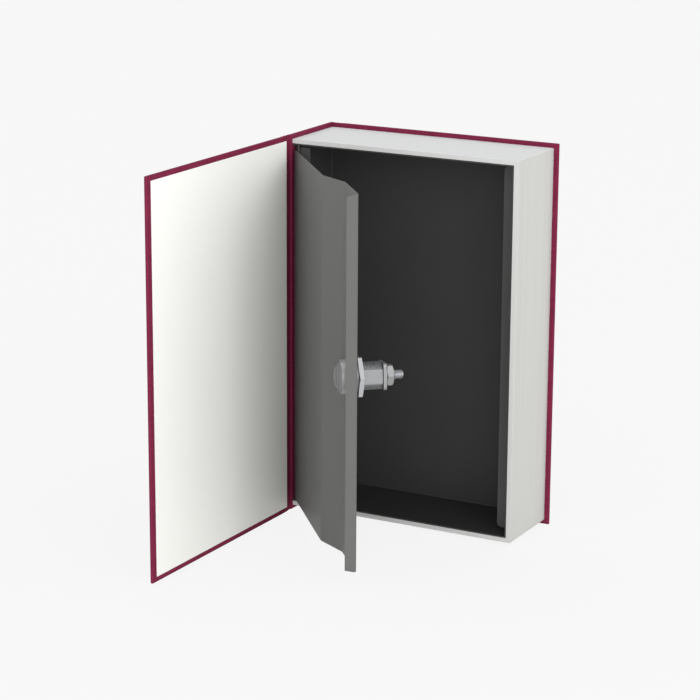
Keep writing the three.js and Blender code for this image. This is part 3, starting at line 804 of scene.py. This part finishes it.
door_line = rounded([
    (DOOR_START, LEAF_Y, 0), (RAMP_START, LEAF_Y, RAMP_BEND), (RAMP_END, CHANNEL_Y, RAMP_BEND),
    (DOOR_END, CHANNEL_Y, FLANGE_BEND), (DOOR_END, FLANGE_Y, 0),
], steps=6, closed=False)
before_hole = max(k for k, point in enumerate(door_line) if point.x < LOCK_X) + 1
door_line[before_hole:before_hole] = [
    Vector((LOCK_X + side * HOLE_FRAME, CHANNEL_Y)) for side in (-1, 1)
]
stations = [(point.x, point.y, DOOR_LOW, DOOR_HIGH) for point in door_line]
stations[-1] = (DOOR_END, FLANGE_Y, DOOR_LOW + FLANGE_CUT, DOOR_HIGH - FLANGE_CUT)
leaf = folded(stations, (before_hole, LOCK_X, LOCK_Z, HOLE_FRAME, double_flat(8.8, 7.5)))
hang(
    "door_leaf", leaf, "door_paint", "door", DOOR, ["door_panel"],
    thickness=DOOR_SHEET, edge=CUT_EDGE,
)

# %% [markdown]
# Locks, nuts and pins are turned parts. A lathe works with rings about an axis, so
# the helper takes a list of levels, each a place along the axis and a radius. The
# radius may also be a function of the angle, and that is enough for hexagons, flats,
# squares and threads. A hexagon nut gets its chamfer as a real one does: the corners
# are turned down by a cone.

# %% A lathe
def ring_angles(sides, corners=()):
    """Evenly spread angles, with those of sharp corners added."""
    angles = {round(FULL_TURN * k / sides, 6) for k in range(sides)}
    return sorted(angles | {round(corner % FULL_TURN, 6) for corner in corners})


def lathe(levels, angles, through=False):
    """Rings about the y axis; with a bore the last ring joins the first, else both are capped."""
    mesh = bmesh.new()
    rings = []
    for y, radius in levels:
        reach = [radius(angle) if callable(radius) else radius for angle in angles]
        rings.append([
            mesh.verts.new((r * math.cos(angle), y, r * math.sin(angle))) for r, angle in zip(reach, angles)
        ])
    pairs = list(zip(rings, rings[1:])) + ([(rings[-1], rings[0])] if through else [])
    for near, far in pairs:
        for k in range(len(angles)):
            after = (k + 1) % len(angles)
            mesh.faces.new((near[k], near[after], far[after], far[k]))
    if not through:
        mesh.faces.new(rings[0])
        mesh.faces.new(rings[-1])
    return mesh


LOCK = DOOR @ Matrix.Translation((LOCK_X, 0, LOCK_Z))
print("the lock's axis starts at", LOCK @ Vector((0, 0, 0)))

# %% [markdown]
# A screw thread is a ridge that climbs by one pitch in each turn. Cutting it as a
# helix would need a join at both ends. The lathe can turn it instead: at each place
# along the axis the radius goes up and down once round the axis, and that wave turns
# on from ring to ring. Where the barrel has flats, they cut the ridge away.

# %% A screw thread
RINGS_PER_TURN = 6


def thread(start, end, radius, pitch, depth, flat=None, tilt=0.0):
    """Levels of a screw thread, cut by two flats if flat is given."""
    levels = []
    count = round((end - start) / pitch * RINGS_PER_TURN)
    for k in range(count + 1):
        y = start + (end - start) * k / count

        def reach(angle, y=y):
            phase = (y / pitch + angle / FULL_TURN) % 1
            cut = radius - depth * abs(2 * phase - 1)
            return double_flat(cut, flat, tilt)(angle) if flat else cut

        levels.append((y, reach))
    return levels


print("a turn of thread takes", RINGS_PER_TURN, "rings")

# %% [markdown]
# The body of the lock has a round head, coned towards its face, in front of the door,
# and behind it a threaded barrel with two flats. The thread only survives on the round
# sides. The hole in the door is a little wider than the flats, and when the nut was
# tightened it took the barrel with it by a few degrees. The cone of the head's face is
# painted dark as shade and the head's side bright as a highlight, so the body has three
# finishes, which its faces take by their place along the axis.

# %% The body of the lock
HEAD_FRONT, HEAD_REAR, CONE_DEPTH, BARREL_END = 1.2, 8.8, 1.8, 27.8
BARREL, FLAT, BORE, TWIST = 8.3, 7.0, 5.7, math.radians(6)
barrel_corner = math.acos(FLAT / BARREL)
corners_of_flats = [a + b + TWIST for a in (0, math.pi) for b in (-barrel_corner, barrel_corner)]
body_levels = [
    (HEAD_FRONT + 0.15, 7.2), (HEAD_FRONT, 7.35), (HEAD_FRONT, 7.9), (HEAD_FRONT + 0.1, 8.25),
    (HEAD_FRONT + 0.35, 8.5), (HEAD_FRONT + 1.4, 9.75), (HEAD_FRONT + 1.6, 9.93),
    (HEAD_FRONT + 1.9, 10.0), (HEAD_REAR - 0.15, 10.0), (HEAD_REAR, 9.85),
    (HEAD_REAR, double_flat(BARREL, FLAT, TWIST)), (10.4, double_flat(BARREL, FLAT, TWIST)),
    *thread(10.6, BARREL_END - 0.5, BARREL, pitch=1.0, depth=0.3, flat=FLAT, tilt=TWIST),
    (BARREL_END - 0.3, double_flat(BARREL - 0.2, FLAT, TWIST)),
    (BARREL_END, double_flat(BARREL - 0.4, FLAT - 0.1, TWIST)),
    (BARREL_END, BORE + 0.2), (BARREL_END - 0.2, BORE), (3.6, BORE), (3.6, 7.2),
]
housing = lathe(body_levels, ring_angles(120, corners_of_flats), through=True)
body = hang("lock_body", housing, "dull_nickel_painted_shade", "door", LOCK, ["lock_housing"])
for finish in ("nickel_painted_highlight", "nickel_painted_shade"):
    body.data.materials.append(finishes[finish])
# Painted shade on the cone of the face, a painted highlight on the head's side, and the darker dull nickel
# behind the head.
to_lock = LOCK.inverted()
for face in body.data.polygons:
    place = (to_lock @ face.center).y
    face.material_index = (place < HEAD_REAR) + (place < HEAD_FRONT + CONE_DEPTH)

# %% [markdown]
# A ring fills the spare length of the barrel behind the door, and a wide thin nut
# clamps it. The cone of this nut only breaks its corners, while the cam's small nut,
# which follows later, has the usual cone of thirty degrees. One function makes both.

# %% The spacer and the nut
CONE_RISES = (0, 0.21, 0.4375, 0.7, 1.225, 2.0125)
CONE_START_SHARE, FACE_SHARE, BORE_CHAMFER = 0.985, 0.95, 0.35


def hexagon(flats, limit, twist):
    """The radius of a hexagon at an angle, turned down to a limit at its corners."""
    return lambda angle: min(flats / 2 / math.cos((angle - twist) % (math.pi / 3) - math.pi / 6), limit)


def hex_nut(flats, bore, front, rear, slope=1.75, twist=0.0):
    """A nut with both faces turned down by a cone of that slope, and a chamfered bore."""
    corner, face_radius = flats / 2 / math.cos(math.pi / 6), flats / 2 * FACE_SHARE
    cone = [(rise / slope, min(flats / 2 * CONE_START_SHARE + rise, corner)) for rise in CONE_RISES]
    levels = [(front, bore + BORE_CHAMFER), (front, face_radius)]
    levels += [(front + depth, hexagon(flats, limit, twist)) for depth, limit in cone]
    levels += [(rear - depth, hexagon(flats, limit, twist)) for depth, limit in reversed(cone)]
    levels += [(rear, face_radius), (rear, bore + BORE_CHAMFER)]
    levels += [(rear - BORE_CHAMFER, bore), (front + BORE_CHAMFER, bore)]
    return lathe(levels, ring_angles(96, [k * math.pi / 3 + twist for k in range(6)]), through=True)


def washer(inner, outer, front, rear, soft):
    """A flat ring with soft outer edges."""
    slight = soft * 0.3
    levels = [
        (front, inner), (front, outer - soft), (front + slight, outer - slight), (front + soft, outer),
        (rear - soft, outer), (rear - slight, outer - slight), (rear, outer - soft), (rear, inner),
    ]
    return lathe(levels, ring_angles(72), through=True)


spacer = washer(8.9, 10.5, 10.0, 12.8, 0.1)
hang("spacer_ring", spacer, "dull_zinc", "door", LOCK, ["lock_spacer"])
nut = hex_nut(22.7, 8.4, 12.9, 15.7, slope=9, twist=math.radians(8))
hang("body_nut", nut, "nickel", "door", LOCK, ["lock_nut"])

# %% [markdown]
# Inside the body turns the plug: a flanged face with the keyway, a long cylinder with
# the wafers, a square that carries the cam, and a threaded stud for the cam's nut. The
# keyway is a recess in the shape of a rectangle, and the lathe makes it as its first
# levels, from the floor of the slot out to the face. The square sits as the barrel
# does, turned by the same few degrees.

# %% The plug
SQUARE, PLUG, PLUG_FACE_REAR = 3.5, 5.5, 3
SLOT_HALF_WIDTH, SLOT_HALF_HEIGHT = 1.1, 4


def box_radius(half_width, half_height, tilt=0.0):
    """The radius of a tilted rectangle at an angle."""
    def reach(angle):
        across, upward = abs(math.cos(angle - tilt)), abs(math.sin(angle - tilt))
        return min(half_width / max(across, NEARLY_ZERO), half_height / max(upward, NEARLY_ZERO))
    return reach


slot_corner = math.atan2(SLOT_HALF_HEIGHT, SLOT_HALF_WIDTH)
plug_corners = [slot_corner * side + half for side in (1, -1) for half in (0, math.pi)]
plug_corners += [math.pi * (k / 2 + 1 / 4) + TWIST for k in range(4)]
plug_levels = [
    (19.4, box_radius(SLOT_HALF_WIDTH, SLOT_HALF_HEIGHT)),
    (1.6, box_radius(SLOT_HALF_WIDTH, SLOT_HALF_HEIGHT)),
    (1.4, box_radius(SLOT_HALF_WIDTH + 0.2, SLOT_HALF_HEIGHT + 0.2)), (1.4, 6.6),
    (1.47, 6.85), (1.7, 7.0), (3.4, 7.0), (3.4, PLUG), (27.5, PLUG), (27.6, PLUG - 0.1),
    (27.6, box_radius(SQUARE, SQUARE, TWIST)), (29.6, box_radius(SQUARE, SQUARE, TWIST)),
    (29.7, box_radius(SQUARE - 0.1, SQUARE - 0.1, TWIST)), (29.7, 2.75),
    *thread(30.1, 40.1, 2.9, pitch=0.9, depth=0.45), (40.5, 2.5), (40.8, 2.2),
]
plug = lathe(plug_levels, ring_angles(96, plug_corners))
core = hang("plug_and_stud", plug, "nickel", "lock_core", LOCK, ["lock_plug"])
# Painted shade: the face of the plug takes the darker dull nickel.
core.data.materials.append(finishes["dull_nickel_painted_shade"])
for face in core.data.polygons:
    face.material_index = (to_lock @ face.center).y < PLUG_FACE_REAR

# %% [markdown]
# The cam is a strip of thick sheet, cranked towards the door so that its arm hooks
# behind the strike. It is folded as the angles are, with a square hole in its flat
# pattern. It sits on the plug's square, so it shares the square's few degrees. A
# washer and a small nut hold it on the stud.

# %% The cam, its washer and its nut
CAM_ROOT, CAM_HALF, ROOT_ROUND, TIP_ROUND = 7.9, 5.5, 1.8, 2.0
CAM_PLACE, ARM_PLACE, CRANK_X, TIP_X = 28.8, 12.9, -14.5, -22.5
CAM_BEND, NARROWS_AT, SEAT_FRAME, CAM_SHEET, CAM_EDGE = 1.6, -5, 4.2, 1.8, 0.2
CAM_SEAT = LOCK @ Matrix.Rotation(-TWIST, 4, "Y")
cam_line = rounded([
    (0, CAM_PLACE, 0), (CRANK_X, CAM_PLACE, CAM_BEND), (CRANK_X, ARM_PLACE, CAM_BEND), (TIP_X, ARM_PLACE, 0),
], steps=5, closed=False)


def cam_station(point):
    """A station of the cam: a wide root round the square hole, an arm, and round corners at both ends."""
    half = CAM_ROOT if point.x > NARROWS_AT else max(CAM_ROOT + point.x - NARROWS_AT, CAM_HALF)
    for inward, soft in ((CAM_ROOT - point.x, ROOT_ROUND), (point.x - TIP_X, TIP_ROUND)):
        short = min(max(soft - inward, 0), soft)
        half -= soft - math.sqrt(soft ** 2 - short ** 2)
    return (point.x, point.y, -half, half)


shares = [1 - math.cos(math.radians(15 * k)) for k in range(7)]
root_points = [Vector((CAM_ROOT - share * ROOT_ROUND, CAM_PLACE)) for share in shares]
narrow_from = NARROWS_AT + CAM_HALF - CAM_ROOT
root_points += [Vector((x, CAM_PLACE)) for x in (SEAT_FRAME, -SEAT_FRAME, NARROWS_AT, narrow_from)]
tip_points = [Vector((TIP_X + share * TIP_ROUND, ARM_PLACE)) for share in reversed(shares)]
cam_stations = [cam_station(point) for point in root_points + cam_line[1:-1] + tip_points]
square_hole = (len(shares), 0, 0, SEAT_FRAME, box_radius(SQUARE + 0.1, SQUARE + 0.1))
cam = folded(cam_stations, square_hole)
hang(
    "cranked_cam", cam, "dull_nickel_painted_shade", "lock_core", CAM_SEAT, ["cam"],
    thickness=CAM_SHEET, edge=CAM_EDGE,
)
cam_washer = washer(3.1, 6, 29.9, 30.5, 0.15)
hang("washer_of_cam", cam_washer, "satin_nickel_painted_shade", "lock_core", LOCK, ["cam_washer"])
cam_nut = hex_nut(11.5, 3.0, 30.6, 34.6, twist=math.radians(4))
hang("nut_of_cam", cam_nut, "satin_nickel_painted_shade", "lock_core", LOCK, ["cam_nut"])

# %% [markdown]
# The door turns on two short pins in steel bushes, set into the head and the tail.
# They are turned too, with small chamfers, and blackened. Their axis is upright, so a
# turn about x brings the lathe's axis up.

# %% Pins and bushes
PIN, PIN_CHAMFER = 1, 0.2


def upright(mesh):
    """Stands a turned part up on the axis of the door's hinge."""
    bmesh.ops.transform(mesh, matrix=Matrix.Rotation(math.radians(90), 4, "X"), verts=mesh.verts)
    bmesh.ops.translate(mesh, vec=(*DOOR_HINGE, 0), verts=mesh.verts)
    return mesh


for name, low, high in (("upper_pivot_pin", 208.0, 236.0), ("lower_pivot_pin", 4.0, 28.6)):
    narrow = PIN - PIN_CHAMFER
    levels = [(low, narrow), (low + PIN_CHAMFER, PIN), (high - PIN_CHAMFER, PIN), (high, narrow)]
    pin = upright(lathe(levels, ring_angles(32)))
    hang(name + "_turned", pin, "blackened_steel", "door", DOOR, [name])
for name, low, high in (("upper_bush", 233.5, 235.8), ("lower_bush", 4.2, 6.5)):
    ring = upright(washer(1.1, 2, low, high, 0.15))
    hang(name + "_turned", ring, "blackened_steel", "root", STILL, [name])

# %% [markdown]
# What nobody sees keeps its solid: the boards, the endpaper at the back, the foam tape,
# the wafers and their springs. Each still gets its own finish, since a door left open
# or a glance down the keyway may show it.

# %% Finishes for the solids that stay
WAFERS = range(1, 6)
KEPT = {
    "back_board": "grey_board", "spine_board": "grey_board", "front_board": "grey_board",
    "back_endpaper": "white_endpaper", "mounting_pad": "black_foam",
}
KEPT.update({f"wafer_{k}": "brass" for k in WAFERS})
KEPT.update({f"wafer_spring_{k}": "turned_steel" for k in WAFERS})
for name, finish in KEPT.items():
    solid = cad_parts[name]
    solid.data.materials.clear()
    solid.data.materials.append(finishes[finish])
print("solids kept:", len(KEPT))

# %% [markdown]
# The picture is a studio shot on a seamless white ground. The world gives most of the
# light, soft and from all sides. Its light is white, while the camera and polished
# metal see the near white of the studio in it. Light Path tells the two apart.

# %% The world
BACKGROUND, WORLD_LIGHT = tone(0.93, 0.93, 0.93), 1.0


def seen_directly(network):
    """1 for what the camera, polished metal or glass looks at, and 0 for light."""
    camera_ray, glossy_ray, through_ray = (
        network.node("ShaderNodeLightPath", output=name) for name in
        ("Is Camera Ray", "Is Glossy Ray", "Is Transmission Ray")
    )
    return camera_ray.either(glossy_ray.either(through_ray))


scene.world = bpy.data.worlds.new("studio")
studio = Network(scene.world)
background = studio.tree.nodes["Background"]
sky = studio.mix(seen_directly(studio), tone(1, 1, 1), BACKGROUND)
studio.plug(background.inputs["Color"], sky)
studio.plug(background.inputs["Strength"], WORLD_LIGHT)
print("the world lights with a strength of", WORLD_LIGHT)

# %% [markdown]
# The ground is a wide pale floor. To the camera most of it is the same near white, so
# no horizon shows, and the rest is real paint, which keeps a trace of the book's
# shadow.

# %% The floor
FLOOR_SHOWN_WHITE, FLOOR_REACH = 0.93, 9
floor_finish = Finish("pale_floor", base_color=tone(0.95, 0.95, 0.95), roughness=0.9)
paint = Wire(floor_finish, floor_finish.shader.outputs[0])
white = floor_finish.node("ShaderNodeEmission", sockets={"Color": BACKGROUND, "Strength": 1.0})
whiteness = seen_directly(floor_finish) * FLOOR_SHOWN_WHITE
shown = floor_finish.node("ShaderNodeMixShader", sockets={0: whiteness, 1: paint, 2: white})
floor_finish.plug(floor_finish.tree.nodes["Material Output"].inputs["Surface"], shown)

ground = bmesh.new()
bmesh.ops.create_grid(ground, x_segments=1, y_segments=1, size=FLOOR_REACH)
floor_mesh = bpy.data.meshes.new("floor")
ground.to_mesh(floor_mesh)
ground.free()
floor_mesh.materials.append(floor_finish.owner)
floor_object = bpy.data.objects.new("floor", floor_mesh)
scene.collection.objects.link(floor_object)
floor_object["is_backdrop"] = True
print("the floor is", round(floor_object.dimensions.x), "m wide")

# %% [markdown]
# One large lamp at the right adds a little direction, and one beside the camera
# reaches into the tray and between the cover and the door. Both are squares of soft
# light, and neither shows itself to the camera.

# %% Lamps
def softbox(name, place, aim, size, power):
    """A large square lamp at a place, turned to its aim."""
    lamp = bpy.data.objects.new(name, bpy.data.lights.new(name, "AREA"))
    lamp.data.shape, lamp.data.size, lamp.data.energy = "SQUARE", size, power
    lamp.location, lamp.visible_camera = place, False
    lamp.rotation_euler = (Vector(aim) - Vector(place)).to_track_quat("-Z", "Y").to_euler()
    scene.collection.objects.link(lamp)
    lamp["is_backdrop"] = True


softbox("light_from_right", (1.24, -0.86, 0.68), (0, -0.05, 0.12), 0.7, 5.8)
softbox("light_from_camera", (0.62, -1.53, 0.46), (-0.03, -0.07, 0.12), 1.0, 4.6)
scene.view_settings.view_transform = "Standard"

# %% Measure and finish
low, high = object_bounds()
boxes = {"cad": [list(cad_low), list(cad_high)], "visual": [list(low), list(high)]}
for name, corners in boxes.items():
    print(name, "box in mm:", [[round(value * 1000, 2) for value in corner] for corner in corners])
